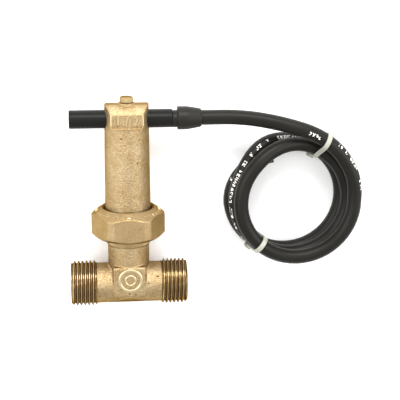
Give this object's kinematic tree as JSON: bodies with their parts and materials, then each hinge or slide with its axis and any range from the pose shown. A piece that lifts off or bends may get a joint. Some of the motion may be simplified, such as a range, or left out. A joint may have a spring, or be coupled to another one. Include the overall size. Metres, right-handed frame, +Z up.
{
  "type": "magnetic flow switch",
  "caption": "Brass pipe tee with a swinging paddle, a union nut, a tall bonnet and a clamped reed probe on a coiled cable; flow closes or opens its contact.",
  "frame": {"origin": "bottom centre of the bounding box of the switch itself, without its cable: the surface it lies on, under the middle of the bonnet's axis", "axes": "+X along the pipe, towards the cable side; +Y from the tee to the bonnet's screw end; +Z up, out of the pad on the tee's front"},
  "size_m": [0.1361, 0.0988, 0.031],
  "materials": {
    "cast_brass": "sand-cast brass with turned threads",
    "nut_brass": "forged brass, matte flats",
    "gasket_fibre": "pressed fibre",
    "carrier_plastic": "moulded",
    "steel": "drawn",
    "magnet_ferrite": "sintered",
    "nylon": "moulded",
    "screw_brass": "turned",
    "probe_plastic": "extruded, satin",
    "glass": "drawn glass",
    "reed_metal": "plated",
    "core_brown": "core insulation",
    "core_blue": "core insulation",
    "resin": "cast resin",
    "boot_rubber": "moulded",
    "cable_jacket": "extruded, slight sheen"
  },
  "bodies": {
    "tee": {"tee_body": "cast_brass", "flat_gasket": "gasket_fibre"},
    "bonnet": {"bonnet": "cast_brass", "pivot_carrier": "carrier_plastic", "pivot_pin": "steel", "return_spring": "steel"},
    "nut": {"union_nut": "nut_brass"},
    "lever": {"lever_arm": "steel", "paddle_blade": "steel", "blade_rivets": "steel", "magnet_cup": "carrier_plastic", "magnet": "magnet_ferrite"},
    "probe": {"probe_tube": "probe_plastic", "reed_capsule": "glass", "reed_blades": "reed_metal", "core_brown": "core_brown", "core_blue": "core_blue", "potting": "resin", "cable_boot": "boot_rubber", "cable_lead": "cable_jacket", "cable_coil": "cable_jacket", "tie_upper": "nylon", "tie_lower": "nylon"},
    "clamp_tip": {"screw_tip": "nylon"},
    "clamp_screw": {"clamp_screw": "screw_brass"}
  },
  "joints": [
    {"name": "bonnet_lift", "type": "slide", "parent": "tee", "child": "bonnet", "axis": [0, 1, 0], "range_m": [0, 0.00816]},
    {"name": "nut_turn", "type": "hinge", "parent": "bonnet", "child": "nut", "pos_m": [0, -0.0089, 0.0155], "axis": [0, 1, 0], "range_deg": [0, 1620.1]},
    {"name": "lever_swing", "type": "hinge", "parent": "bonnet", "child": "lever", "pos_m": [0, -0.0029, 0.0155], "axis": [0, 0, 1], "range_deg": [-6, 6], "stiffness_Nm_per_rad": 0.02},
    {"name": "probe_slide", "type": "slide", "parent": "bonnet", "child": "probe", "axis": [1, 0, 0], "range_m": [-0.012, 0.014]},
    {"name": "clamp_travel", "type": "slide", "parent": "bonnet", "child": "clamp_tip", "axis": [0, 1, 0], "range_m": [0, 0.0021]},
    {"name": "clamp_turn", "type": "hinge", "parent": "clamp_tip", "child": "clamp_screw", "pos_m": [0, 0.0461, 0.0155], "axis": [0, 1, 0], "range_deg": [0, 1080.1]}
  ],
  "couplings": [
    {"joint": "nut_turn", "follows": "bonnet_lift", "rad_per_m": 3463.7},
    {"joint": "clamp_turn", "follows": "clamp_travel", "rad_per_m": 8976}
  ]
}
